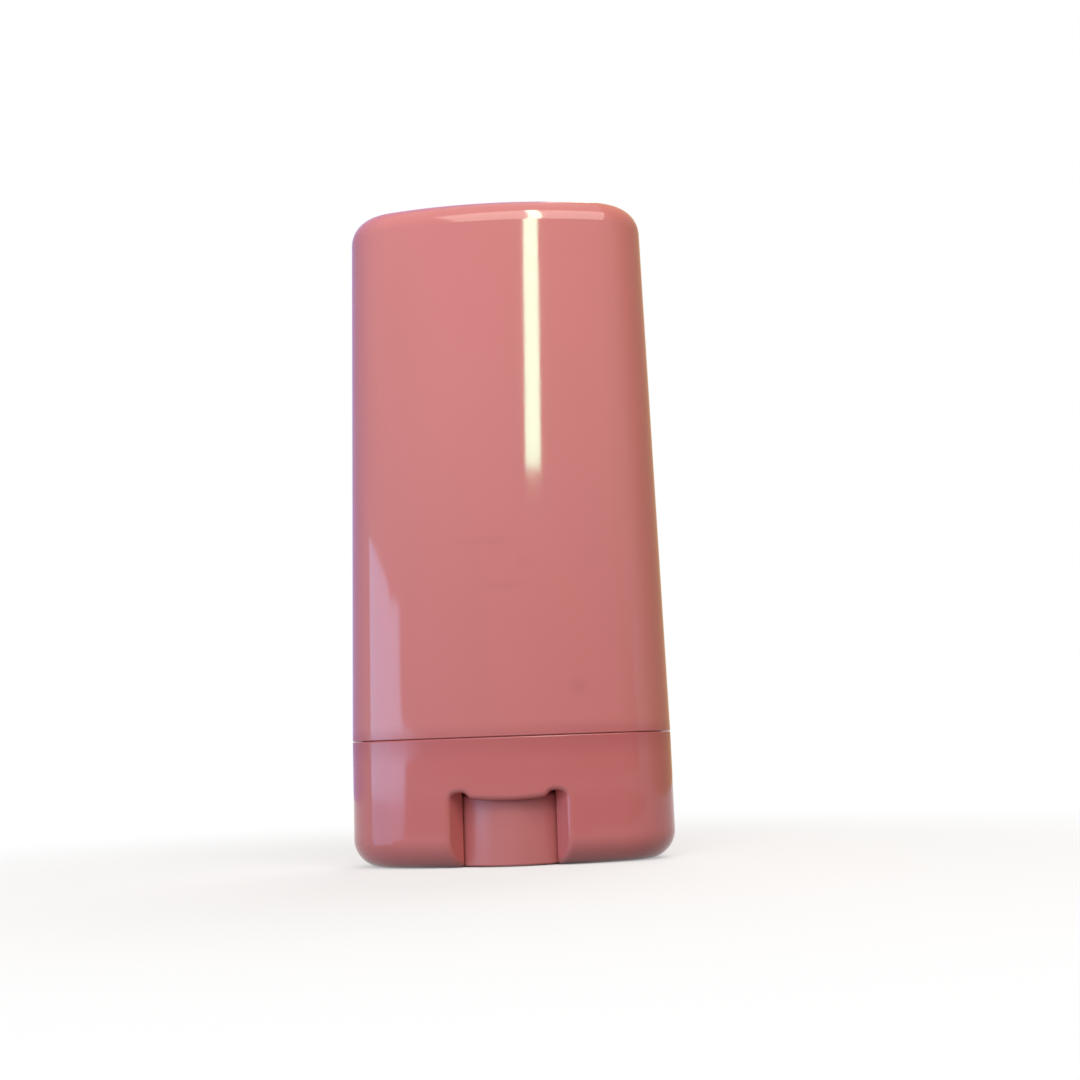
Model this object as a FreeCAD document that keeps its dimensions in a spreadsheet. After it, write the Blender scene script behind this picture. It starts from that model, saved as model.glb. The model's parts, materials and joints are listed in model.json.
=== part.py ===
import FreeCAD, Part

import math
import os

import Sketcher

# Twist-up stick container: a flat-oval pack whose long cap slides over a barrel.
# A thumbwheel in the base turns a coarse screw, and the screw lifts a cup inside the barrel.
#
# Frame: millimetres, origin at the middle of the foot, +X across the width, +Z up.
# The front is the -Y side. All pieces stand where they are with the cap closed and the cup down.

SIZES = [
    # The outside of the closed pack
    ("base_width", 61.4, "width of the base at its foot"),
    ("base_depth", 30.6, "depth of the base at its foot, front to back"),
    ("end_radius", 12.7, "radius of the oval's two ends at the foot"),
    ("base_height", 23.6, "foot to the shoulder that the cap stands on"),
    ("total_height", 127.2, "foot to the top of the closed cap"),
    ("base_draft", 0.3, "draft of the base's outside, degrees"),
    ("cap_draft", 1.0, "draft of the cap's outside, degrees"),
    ("foot_round", 5.3, "round of the base's lower edge"),
    ("shoulder_round", 0.25, "round of the base's upper edge"),
    ("crown_round", 5.0, "round of the cap's upper edge"),
    ("rim_round", 0.2, "round of the cap's lower edge"),
    # Walls
    ("shell_wall", 1.6, "wall of the base shell"),
    ("cap_wall", 1.5, "wall of the cap"),
    ("barrel_wall", 1.2, "wall of the barrel's tube"),
    ("floor_thick", 1.8, "barrel floor that carries the screw"),
    ("flange_thick", 1.8, "flange that closes the top of the base shell"),
    # Cap on barrel
    ("seam_gap", 0.1, "gap between the cap's lower edge and the shoulder"),
    ("cap_clearance", 0.3, "gap between the cap's inside and the barrel, each side"),
    ("headroom", 18.8, "barrel rim to the top of the closed cap"),
    ("collar_height", 5.0, "raised collar that centres the cap on the barrel"),
    ("bead_rise", 0.15, "how far the snap bead stands out of the collar"),
    ("bead_sink", 0.03, "how far the bead's slopes run on into the collar"),
    ("bead_half", 0.7, "half the height of the snap bead"),
    ("bead_level", 2.4, "snap bead above the shoulder"),
    ("rim_edge", 0.4, "round of the barrel's rim"),
    # Barrel in base shell
    ("press_gap", 0.08, "gap between the barrel's flange and the shell, each side"),
    ("leg_gap", 0.3, "barrel's legs above the middle of the base's lower round"),
    ("rib_thick", 1.2, "thickness of the shell's support ribs"),
    ("rib_gap", 0.2, "gap between a support rib and the barrel's tube"),
    # Thumbwheel
    ("dial_gap", 0.35, "gap between the thumbwheel and the inside of the base's wall"),
    ("dial_rise", 0.15, "foot to the underside of the thumbwheel"),
    ("dial_height", 13.25, "height of the thumbwheel"),
    ("dial_wall", 1.6, "rim and web of the thumbwheel"),
    ("dial_shoulder", 1.0, "round of the thumbwheel's upper edge"),
    ("dial_foot", 0.4, "round of the thumbwheel's lower edge"),
    ("dial_ribs", 6, "number of ribs under the thumbwheel"),
    ("dial_rib_thick", 1.2, "thickness of a rib under the thumbwheel"),
    ("dial_rib_rise", 2.0, "underside of the thumbwheel to its ribs and hub"),
    ("hub_wall", 1.8, "hub of the thumbwheel beyond the corners of its socket"),
    ("room_gap", 0.5, "gap between the thumbwheel and the housing round it"),
    ("housing_wall", 1.0, "least wall of the housing, at each side of the thumbwheel"),
    ("housing_gap", 0.3, "gap between the housing and the barrel"),
    ("housing_inset", 2.0, "lower part of the housing inside the shell's outside"),
    ("housing_sink", 0.15, "how far that part runs on into the foot"),
    ("thrust_gap", 0.15, "gap between the thumbwheel and the floor's bearing boss"),
    # Thumb opening in the base shell
    ("thumb_half", 8.7, "half the width of the thumb opening at the thumbwheel"),
    ("flare_width", 3.0, "how much wider the opening is in front, each side"),
    ("flare_inside", 0.5, "how far the flare's cut runs on into the room of the thumbwheel"),
    ("lip_cover", 1.4, "how far the lip reaches down in front of the thumbwheel"),
    ("lip_sag", 0.5, "fall of the lip from its ends to its middle"),
    ("lip_step", 1.1, "top of the thumb opening above the lip's ends"),
    ("ear_width", 0.8, "level top of the thumb opening inside each flare"),
    ("ear_slope", 1.0, "width of the slope from there to the lip"),
    ("flare_round", 1.3, "round of the flare's upper corners"),
    ("lip_round", 1.2, "round of the lip's ends"),
    ("notch_edge", 1.1, "round of the thumb opening's outer edge"),
    ("notch_below", 1.0, "how far under the foot the thumb opening's cut starts"),
    # Screw
    ("tang_width", 6.0, "square tang that drives the screw"),
    ("tang_gap", 0.05, "gap between the tang and the thumbwheel's socket, each side"),
    ("journal_step", 0.65, "journal beyond the corners of the tang"),
    ("journal_gap", 0.08, "running gap round the journal"),
    ("boss_wall", 3.0, "wall of the bearing boss under the floor"),
    ("boss_height", 1.35, "height of the bearing boss"),
    ("collar_step", 2.3, "screw's collar beyond its journal"),
    ("collar_thick", 1.4, "thickness of the screw's collar"),
    ("collar_gap", 0.1, "gap under the screw's collar"),
    ("core_radius", 3.0, "core of the screw"),
    ("thread_depth", 1.4, "thread's crest beyond the core"),
    ("crest_width", 1.0, "thread's width at its crest"),
    ("root_width", 2.0, "thread's width at the core"),
    ("lead", 6.0, "rise of the thread in one turn"),
    ("screw_short", 1.5, "screw's top below the barrel's rim"),
    ("tip_chamfer", 0.9, "chamfer at the top of the screw"),
    # Lifting cup
    ("cup_gap", 0.4, "gap under the cup when it is right down"),
    ("cup_clearance", 0.3, "gap between the cup and the barrel's bore, each side"),
    ("cup_plate", 1.6, "plate of the cup"),
    ("cup_rim", 4.6, "cup's rim above its plate"),
    ("cup_wall", 1.2, "wall of the cup's rim and ribs"),
    ("cup_rib_height", 3.2, "ribs on the cup's plate"),
    ("nut_wall", 2.25, "wall of the cup's nut"),
    ("nut_over", 0.45, "nut above its upper lug"),
    ("nut_clearance", 0.35, "gap between the nut and the thread's crest"),
    ("lug_gap", 0.3, "gap between a lug's tip and the screw's core"),
    ("lug_play", 0.85, "gap between a lug and the thread above and below, at the lug's middle"),
    ("lug_width", 3.0, "width of a lug"),
    ("cross_inset", 8.0, "cross ribs from the ends of the cup's inside"),
    ("key_radius", 2.4, "holes in the cup's plate that hold the stick"),
    ("key_edge", 1.9, "those holes from the sides of the cup's inside"),
]


def make_sheet(doc):
    """The spreadsheet of driving sizes: name, value and what it is."""
    sheet = doc.addObject("Spreadsheet::Sheet", "sizes")
    for row, (name, value, note) in enumerate(SIZES, start=1):
        sheet.set(f"A{row}", name)
        sheet.set(f"B{row}", str(value))
        sheet.setAlias(f"B{row}", name)
        sheet.set(f"C{row}", note)
    doc.recompute()
    return sheet


doc = FreeCAD.newDocument("stick_container")
sheet = make_sheet(doc)


def size(expression):
    """The present value of an expression on the sheet's names, as a number."""
    return float(sheet.evalExpression(expression))


# Sizes that follow from the driving ones. Every piece that shares one uses the same expression.
DIAL_TOP = "(sizes.dial_rise + sizes.dial_height)"
FLOOR_BOTTOM = f"({DIAL_TOP} + sizes.thrust_gap + sizes.boss_height)"
FLOOR_TOP = f"({FLOOR_BOTTOM} + sizes.floor_thick)"
COLLAR_BOTTOM = f"({FLOOR_TOP} + sizes.collar_gap)"
COLLAR_TOP = f"({COLLAR_BOTTOM} + sizes.collar_thick)"
CUP_BOTTOM = f"({COLLAR_TOP} + sizes.cup_gap)"
CUP_PLATE_TOP = f"({CUP_BOTTOM} + sizes.cup_plate)"
FLANGE_BOTTOM = "(sizes.base_height - sizes.flange_thick)"
CAP_BOTTOM = "(sizes.base_height + sizes.seam_gap)"
BARREL_TOP = "(sizes.total_height - sizes.headroom)"
LEG_BOTTOM = "(sizes.foot_round / 2 + sizes.leg_gap)"
TANG_CORNER = "(sizes.tang_width / sqrt(2))"
HUB_RADIUS = f"({TANG_CORNER} + sizes.hub_wall)"
JOURNAL_RADIUS = f"({TANG_CORNER} + sizes.journal_step)"
BEARING_RADIUS = f"({JOURNAL_RADIUS} + sizes.journal_gap)"
BOSS_RADIUS = f"({BEARING_RADIUS} + sizes.boss_wall)"
COLLAR_RADIUS = f"({JOURNAL_RADIUS} + sizes.collar_step)"
CREST_RADIUS = "(sizes.core_radius + sizes.thread_depth)"
NUT_BORE = f"({CREST_RADIUS} + sizes.nut_clearance)"
NUT_RADIUS = f"({NUT_BORE} + sizes.nut_wall)"
SCREW_TOP = f"({BARREL_TOP} - sizes.screw_short)"
# The middle of the thread's ridge starts here, on the +X side, and climbs to just under the tip.
THREAD_START = f"({COLLAR_TOP} + sizes.root_width)"
THREAD_TURNS = f"(({SCREW_TOP} - sizes.tip_chamfer - sizes.root_width / 2 - {THREAD_START}) / sizes.lead)"
LUG_HEIGHT = "(sizes.lead - sizes.root_width - 2 * sizes.lug_play)"
LOWER_LUG = f"({THREAD_START} + sizes.lead / 2 - {LUG_HEIGHT} / 2)"
UPPER_LUG = f"({LOWER_LUG} + sizes.lead / 2)"
NUT_TOP = f"({UPPER_LUG} + {LUG_HEIGHT} + sizes.nut_over)"


def inset(oval, margin):
    """An oval that lies a margin inside another one. An oval is (width, depth, end radius)."""
    width, depth, radius = oval
    return (f"({width} - 2 * ({margin}))", f"({depth} - 2 * ({margin}))", f"({radius} - ({margin}))")


FOOT_OVAL = ("sizes.base_width", "sizes.base_depth", "sizes.end_radius")
SEAM_OVAL = inset(FOOT_OVAL, "sizes.base_height * tan(sizes.base_draft)")
SHELL_BORE = inset(SEAM_OVAL, "sizes.shell_wall")
DIAL_RADIUS = f"({SHELL_BORE[1]} / 2 - sizes.dial_gap)"
ROOM_RADIUS = f"({DIAL_RADIUS} + sizes.room_gap)"
HOUSING_HALF = f"({ROOM_RADIUS} + sizes.housing_wall)"
HOUSING_TOP = f"({FLOOR_BOTTOM} - sizes.housing_gap)"
FLANGE_OVAL = inset(SHELL_BORE, "sizes.press_gap")
CAP_BORE = inset(SEAM_OVAL, "sizes.cap_wall")
COLLAR_OVAL = inset(CAP_BORE, "sizes.cap_clearance")
BARREL_OVAL = inset(COLLAR_OVAL, f"({BARREL_TOP} - sizes.base_height) * tan(sizes.cap_draft)")
BARREL_BORE = inset(BARREL_OVAL, "sizes.barrel_wall")
CUP_OVAL = inset(BARREL_BORE, "sizes.cup_clearance")
CUP_BORE = inset(CUP_OVAL, "sizes.cup_wall")
CROSS_RIB = f"({CUP_BORE[0]} / 2 - sizes.cross_inset)"


def side_at(oval, distance):
    """How far an oval's long side is from its middle line, at a distance along that line."""
    width, depth, end_radius = oval
    across = f"({width} / 2 - {end_radius})"
    radius = f"(({across} ^ 2 + ({depth} / 2) ^ 2 - {end_radius} ^ 2) / ({depth} - 2 * {end_radius}))"
    return f"({depth} / 2 - {radius} + sqrt({radius} ^ 2 - {distance} ^ 2))"


# Sketches

ORIGIN = -1
X_AXIS = -1
Y_AXIS = -2
START = 1
END = 2
CENTRE = 3


def new_body(label):
    """An empty body whose label is the piece's name."""
    body = doc.addObject("PartDesign::Body", label)
    body.Label = label
    return body


def new_sketch(body, name, role="XY_Plane", offset=None):
    """A sketch on one of the body's own origin planes, offset along that plane's normal."""
    sketch = body.newObject("Sketcher::SketchObject", name)
    plane = next(part for part in body.Origin.OriginFeatures if part.Role == role)
    sketch.AttachmentSupport = [(plane, "")]
    sketch.MapMode = "FlatFace"
    if offset is not None:
        sketch.setExpression("AttachmentOffset.Base.z", offset)
    return sketch


def drive(sketch, constraint, name, expression):
    """Adds a dimension, named and bound to an expression on the sheet."""
    index = sketch.addConstraint(constraint)
    sketch.renameConstraint(index, name)
    sketch.setExpression(f"Constraints.{name}", expression)


def draw_oval(sketch, oval):
    """Four arcs that meet tangentially: two small ends and two long shallow sides."""
    width, depth, end_radius = (size(text) for text in oval)
    across = width / 2 - end_radius
    side_radius = (across ** 2 + (depth / 2) ** 2 - end_radius ** 2) / (2 * (depth / 2 - end_radius))
    set_back = side_radius - depth / 2
    spread = math.atan2(across, set_back)
    quarter = math.pi / 2
    arcs = [
        ((0, set_back), side_radius, -quarter - spread, -quarter + spread),
        ((across, 0), end_radius, -quarter + spread, quarter - spread),
        ((0, -set_back), side_radius, quarter - spread, quarter + spread),
        ((-across, 0), end_radius, quarter + spread, 3 * quarter - spread),
    ]
    front, right, back, left = [draw_arc(sketch, *arc) for arc in arcs]
    add = sketch.addConstraint
    add(Sketcher.Constraint("Tangent", front, END, right, START))
    for one, other in ((right, back), (back, left), (left, front)):
        add(Sketcher.Constraint("Coincident", one, END, other, START))
    add(Sketcher.Constraint("Symmetric", front, START, front, END, Y_AXIS))
    add(Sketcher.Constraint("Symmetric", right, START, right, END, X_AXIS))
    add(Sketcher.Constraint("Symmetric", back, START, back, END, Y_AXIS))
    add(Sketcher.Constraint("Equal", front, back))
    add(Sketcher.Constraint("Equal", right, left))
    tip = draw_point(sketch, width / 2, 0, right, X_AXIS)
    nose = draw_point(sketch, 0, -depth / 2, front, Y_AXIS)
    drive(sketch, Sketcher.Constraint("DistanceX", ORIGIN, START, tip, START, width / 2),
          "half_width", f"{oval[0]} / 2")
    drive(sketch, Sketcher.Constraint("DistanceY", nose, START, ORIGIN, START, depth / 2),
          "half_depth", f"{oval[1]} / 2")
    drive(sketch, Sketcher.Constraint("Radius", right, end_radius), "end_radius", oval[2])


def draw_arc(sketch, centre, radius, start, end):
    """An arc of a circle in the sketch, from one angle round to the other."""
    circle = Part.Circle(FreeCAD.Vector(centre[0], centre[1], 0), FreeCAD.Vector(0, 0, 1), radius)
    return sketch.addGeometry(Part.ArcOfCircle(circle, start, end), False)


def draw_point(sketch, x, y, curve, axis):
    """A construction point where a curve crosses an axis."""
    point = sketch.addGeometry(Part.Point(FreeCAD.Vector(x, y, 0)), True)
    sketch.addConstraint(Sketcher.Constraint("PointOnObject", point, START, curve))
    sketch.addConstraint(Sketcher.Constraint("PointOnObject", point, START, axis))
    return point


def oval_sketch(body, name, oval, offset=None):
    """A sketch that holds one oval."""
    sketch = new_sketch(body, name, offset=offset)
    draw_oval(sketch, oval)
    return sketch


def draw_circle(sketch, radius, tag="radius", x=None, y=None):
    """A circle about the origin, or about a point whose two distances are given."""
    place = FreeCAD.Vector(size(x) if x else 0, size(y) if y else 0, 0)
    circle = sketch.addGeometry(Part.Circle(place, FreeCAD.Vector(0, 0, 1), size(radius)), False)
    if x:
        drive(sketch, Sketcher.Constraint("DistanceX", ORIGIN, START, circle, CENTRE, place.x), f"{tag}_x", x)
        drive(sketch, Sketcher.Constraint("DistanceY", ORIGIN, START, circle, CENTRE, place.y), f"{tag}_y", y)
    else:
        sketch.addConstraint(Sketcher.Constraint("Coincident", circle, CENTRE, ORIGIN, START))
    drive(sketch, Sketcher.Constraint("Radius", circle, size(radius)), tag, radius)


def circle_sketch(body, name, radius, offset=None):
    """A sketch that holds one circle about the origin."""
    sketch = new_sketch(body, name, offset=offset)
    draw_circle(sketch, radius)
    return sketch


def draw_polygon(sketch, corners):
    """Straight lines round a list of corners, closed. Returns the lines' numbers."""
    points = [FreeCAD.Vector(x, y, 0) for x, y in corners]
    lines = []
    for start, end in zip(points, points[1:] + points[:1]):
        lines.append(sketch.addGeometry(Part.LineSegment(start, end), False))
    for one, other in zip(lines, lines[1:] + lines[:1]):
        sketch.addConstraint(Sketcher.Constraint("Coincident", one, END, other, START))
    return lines


def draw_corners(sketch, corners, tag):
    """A polygon whose corners are all set by expressions for their two distances."""
    lines = draw_polygon(sketch, [(size(x), size(y)) for x, y in corners])
    for number, (line, (x, y)) in enumerate(zip(lines, corners)):
        for kind, way, text in (("DistanceX", "x", x), ("DistanceY", "y", y)):
            distance = Sketcher.Constraint(kind, ORIGIN, START, line, START, size(text))
            drive(sketch, distance, f"{tag}_{number}_{way}", text)


def draw_box(sketch, low_x, high_x, low_y, high_y):
    """An upright rectangle between two distances in x and two in y."""
    x = (size(low_x), size(high_x))
    y = (size(low_y), size(high_y))
    bottom, right, top, left = draw_polygon(sketch, [(x[0], y[0]), (x[1], y[0]), (x[1], y[1]), (x[0], y[1])])
    for line in (bottom, top):
        sketch.addConstraint(Sketcher.Constraint("Horizontal", line))
    for line in (right, left):
        sketch.addConstraint(Sketcher.Constraint("Vertical", line))
    for line, axis, name, value, text in (
        (bottom, "DistanceX", "low_x", x[0], low_x),
        (right, "DistanceX", "high_x", x[1], high_x),
        (bottom, "DistanceY", "low_y", y[0], low_y),
        (top, "DistanceY", "high_y", y[1], high_y),
    ):
        drive(sketch, Sketcher.Constraint(axis, ORIGIN, START, line, START, value), name, text)


# Features

def pad(body, name, sketch, length, draft=None, down=False, draft_down=None, length_down=None):
    """Material added on a sketch: upwards, downwards, or both ways where length_down is given."""
    feature = body.newObject("PartDesign::Pad", name)
    feature.Profile = sketch
    feature.Reversed = down
    feature.setExpression("Length", length)
    if draft is not None:
        feature.setExpression("TaperAngle", draft)
    if length_down is not None:
        feature.SideType = "Two sides"
        feature.setExpression("Length2", length_down)
        feature.setExpression("TaperAngle2", draft_down)
    finish_feature(body, feature, adds=True)
    return feature


def pocket(body, name, sketch, length=None, draft=None, up=False):
    """Material taken away from a sketch: downwards, upwards, or right through both ways."""
    feature = body.newObject("PartDesign::Pocket", name)
    feature.Profile = sketch
    if length is None:
        feature.Type = "ThroughAll"
        feature.SideType = "Symmetric"
    else:
        feature.setExpression("Length", length)
        feature.Reversed = up
    if draft is not None:
        feature.setExpression("TaperAngle", draft)
    finish_feature(body, feature, adds=False)
    return feature


def finish_feature(body, feature, adds):
    """Recomputes, hides the sketch from the result, and tests that the solid grew or shrank."""
    feature.Profile[0].Visibility = False
    before = feature.BaseFeature.Shape.Volume if feature.BaseFeature else 0.0
    doc.recompute()
    change = feature.Shape.Volume - before
    if (change > 0) != adds or abs(change) < 1e-3:
        raise ValueError(f"{feature.Label} in {body.Label} changed the volume by {change:.4f}")


def round_edges(body, name, radius, wanted, kind="Fillet"):
    """A fillet, or a chamfer, on the edges of the body's last feature that a test picks."""
    base = body.Tip
    picked = [f"Edge{n}" for n, edge in enumerate(base.Shape.Edges, start=1) if wanted(edge)]
    if not picked:
        raise ValueError(f"{name} in {body.Label} found no edge")
    feature = body.newObject(f"PartDesign::{kind}", name)
    feature.Base = (base, picked)
    feature.setExpression("Radius" if kind == "Fillet" else "Size", radius)
    doc.recompute()
    return feature


def pattern(body, name, features, kind, role, copies=None):
    """A mirror or a polar pattern of some features about one of the body's planes or axes."""
    feature = body.newObject(f"PartDesign::{kind}", name)
    feature.Originals = features
    reference = next(part for part in body.Origin.OriginFeatures if part.Role == role)
    if kind == "Mirrored":
        feature.MirrorPlane = (reference, [""])
    else:
        feature.Axis = (reference, [""])
        feature.Angle = 360
        feature.setExpression("Occurrences", copies)
    body.Tip = feature
    doc.recompute()
    return feature


def at_level(level, tolerance=1e-3):
    """A test for edges that lie wholly at one height."""
    height = size(level)

    def wanted(edge):
        box = edge.BoundBox
        return abs(box.ZMin - height) < tolerance and abs(box.ZMax - height) < tolerance

    return wanted


# Pieces

def make_cap():
    """The long cap: a drafted oval shell with a rounded top, closed above and open below."""
    body = new_body("cap")
    height = f"sizes.total_height - {CAP_BOTTOM}"
    outside = oval_sketch(body, "cap_outline", SEAM_OVAL, CAP_BOTTOM)
    pad(body, "cap_form", outside, height, draft="-sizes.cap_draft")
    round_edges(body, "crown", "sizes.crown_round", at_level("sizes.total_height"))
    round_edges(body, "lower_edge", "sizes.rim_round", at_level(CAP_BOTTOM))
    inside = oval_sketch(body, "cap_inside", CAP_BORE, CAP_BOTTOM)
    pocket(body, "cap_hollow", inside, f"{height} - sizes.cap_wall", draft="-sizes.cap_draft", up=True)
    ceiling = "sizes.total_height - sizes.cap_wall"
    round_edges(body, "ceiling_round", "sizes.crown_round - sizes.cap_wall", at_level(ceiling))
    return body


def make_base_shell():
    """The outer shell of the base: open above, with a housing round the wheel and two openings to it."""
    body = new_body("base_shell")
    outside = oval_sketch(body, "shell_outline", FOOT_OVAL)
    pad(body, "shell_form", outside, "sizes.base_height", draft="-sizes.base_draft")
    round_edges(body, "foot", "sizes.foot_round", at_level("0"))
    round_edges(body, "shoulder", "sizes.shoulder_round", at_level("sizes.base_height"))
    inside = oval_sketch(body, "shell_inside", SHELL_BORE, "sizes.base_height")
    pocket(body, "shell_hollow", inside, "sizes.base_height - sizes.shell_wall")
    round_edges(body, "inner_foot", "sizes.foot_round - sizes.shell_wall", at_level("sizes.shell_wall"))
    add_wheel_housing(body)
    cut_thumb_openings(body)
    add_support_ribs(body)
    return body


def add_wheel_housing(body):
    """Solid from the shell's wall in to the room of the wheel. The lower part keeps inside the foot's round."""
    levels = (("housing", "sizes.shell_wall / 2", "(sizes.foot_round / 2)"),
              ("housing_foot", "sizes.housing_inset", "(sizes.shell_wall - sizes.housing_sink)"))
    for name, margin, bottom in levels:
        sketch = new_sketch(body, f"{name}_outline", offset=bottom)
        middle = inset(SEAM_OVAL, margin)
        near = f"({HOUSING_HALF} / 2)"
        near_side = side_at(middle, near)
        far_side = side_at(middle, HOUSING_HALF)
        right = [(near, f"-{near_side}"), (HOUSING_HALF, f"-{far_side}"),
                 (HOUSING_HALF, far_side), (near, near_side)]
        left = [(f"-{x}", y) for x, y in reversed(right)]
        draw_corners(sketch, right + left, "corner")
        pad(body, name, sketch, f"{HOUSING_TOP} - {bottom}")
    room = circle_sketch(body, "room_outline", ROOM_RADIUS)
    pocket(body, "wheel_room", room, HOUSING_TOP, up=True)


def cut_thumb_openings(body):
    """The openings in front and back: flared sides, square ears and a sagging lip between them."""
    lip_level = f"({DIAL_TOP} - sizes.lip_cover)"
    lip_end_level = f"({lip_level} + sizes.lip_sag)"
    top = f"({lip_end_level} + sizes.lip_step)"
    ear_end = "(sizes.thumb_half - sizes.ear_width)"
    lip_end = f"({ear_end} - sizes.ear_slope)"
    half = size("sizes.thumb_half")
    level = size(top)
    end_level = size(lip_end_level)
    below = size("-sizes.notch_below")
    ear = size(ear_end)
    lip_half = size(lip_end)
    sag = size("sizes.lip_sag")
    sketch = new_sketch(body, "thumb_outline", role="XZ_Plane")
    points = [(-lip_half, end_level), (-ear, level), (-half, level), (-half, below),
              (half, below), (half, level), (ear, level), (lip_half, end_level)]
    lines = [
        sketch.addGeometry(Part.LineSegment(FreeCAD.Vector(*start, 0), FreeCAD.Vector(*end, 0)), False)
        for start, end in zip(points, points[1:])
    ]
    left_slope, left_top, left, bottom, right, right_top, right_slope = lines
    radius = (lip_half ** 2 + sag ** 2) / (2 * sag)
    reach = math.asin(lip_half / radius)
    arc = draw_arc(sketch, (0, end_level - sag + radius), radius, -math.pi / 2 - reach, -math.pi / 2 + reach)
    add = sketch.addConstraint
    for one, other in zip(lines, lines[1:]):
        add(Sketcher.Constraint("Coincident", one, END, other, START))
    add(Sketcher.Constraint("Coincident", arc, START, left_slope, START))
    add(Sketcher.Constraint("Coincident", arc, END, right_slope, END))
    for line in (left, right):
        add(Sketcher.Constraint("Vertical", line))
    for line in (left_top, bottom):
        add(Sketcher.Constraint("Horizontal", line))
    for one, other in ((left, right), (left_top, right_top), (left_slope, right_slope)):
        add(Sketcher.Constraint("Symmetric", one, START, other, END, Y_AXIS))
    lowest = draw_point(sketch, 0, end_level - sag, arc, Y_AXIS)
    distances = (
        ("DistanceX", right, END, half, "half_width", "sizes.thumb_half"),
        ("DistanceX", right_top, END, ear, "ear_end", ear_end),
        ("DistanceX", right_slope, END, lip_half, "lip_end", lip_end),
        ("DistanceY", bottom, START, below, "below", "-sizes.notch_below"),
        ("DistanceY", right, END, level, "level", top),
        ("DistanceY", right_slope, END, end_level, "lip_end_level", lip_end_level),
        ("DistanceY", lowest, START, end_level - sag, "lip", lip_level),
    )
    for direction, line, end, value, name, text in distances:
        drive(sketch, Sketcher.Constraint(direction, ORIGIN, START, line, end, value), name, text)
    pocket(body, "thumb_openings", sketch)
    outer_half = size("sizes.thumb_half + sizes.flare_width")
    cut_flares(body, top)
    middle = inset(SEAM_OVAL, "sizes.shell_wall / 2")
    steepest = 0.8

    def across_wall(distance, height):
        """A test for the level edges through the wall at one distance from the middle and one height."""
        def wanted(edge):
            box = edge.BoundBox
            upper = abs(box.ZMin - height) < 1e-3 and abs(box.ZMax - height) < 1e-3
            return upper and box.XLength < 1e-3 and abs(abs(box.XMin) - distance) < 1e-3
        return wanted

    def on_outer_edge(edge):
        """A test for the openings' edges on the outside of the wall."""
        halfway = (edge.FirstParameter + edge.LastParameter) / 2
        place = edge.valueAt(halfway)
        if abs(place.x) > outer_half or place.z > level + 1e-3 or isinstance(edge.Curve, Part.Line):
            return False
        outside = abs(place.y) > size(side_at(middle, f"({place.x})"))
        return outside and abs(edge.tangentAt(halfway).y) < steepest

    def on_flare_top(edge):
        """A test for the slanting edges at the top of the flares."""
        box = edge.BoundBox
        upper = abs(box.ZMin - level) < 1e-3 and abs(box.ZMax - level) < 1e-3
        return upper and box.XLength > 1 and box.YLength > 1 and isinstance(edge.Curve, Part.Line)

    round_edges(body, "flare_tops", "sizes.flare_round", on_flare_top)
    round_edges(body, "ear_ends", "sizes.lip_round", across_wall(ear, level))
    round_edges(body, "lip_ends", "sizes.lip_round", across_wall(lip_half, end_level))
    round_edges(body, "thumb_edges", "sizes.notch_edge", on_outer_edge)


def cut_flares(body, top):
    """Slanting sides that widen each thumb opening from the room of the wheel to the front of the wall."""
    sketch = new_sketch(body, "flare_outline")
    face = "(sizes.base_depth / 2)"
    deep = f"(sqrt({ROOM_RADIUS} ^ 2 - sizes.thumb_half ^ 2) - sizes.flare_inside)"
    inner = "(sizes.thumb_half - sizes.flare_inside)"
    outer = "(sizes.thumb_half + sizes.flare_width)"
    for name, side, way in (("front_left", "-", "-"), ("front_right", "", "-"),
                            ("back_left", "-", ""), ("back_right", "", "")):
        corners = [(side + inner, way + deep), (side + inner, way + face), (side + outer, way + face)]
        draw_corners(sketch, corners, name)
    pocket(body, "flares", sketch, top, up=True)


def add_support_ribs(body):
    """A rib at each end of the shell's inside, sunk in its wall, on which the barrel's flange stands."""
    half_inside = f"({SHELL_BORE[0]} / 2)"
    sketch = new_sketch(body, "rib_outline", offset="sizes.foot_round / 2")
    draw_box(sketch, f"{BARREL_OVAL[0]} / 2 + sizes.rib_gap", f"{half_inside} + sizes.shell_wall / 4",
             "-sizes.rib_thick / 2", "sizes.rib_thick / 2")
    rib = pad(body, "support_rib", sketch, f"{FLANGE_BOTTOM} - sizes.foot_round / 2")
    pattern(body, "support_ribs", [rib], "Mirrored", "YZ_Plane")


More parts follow.
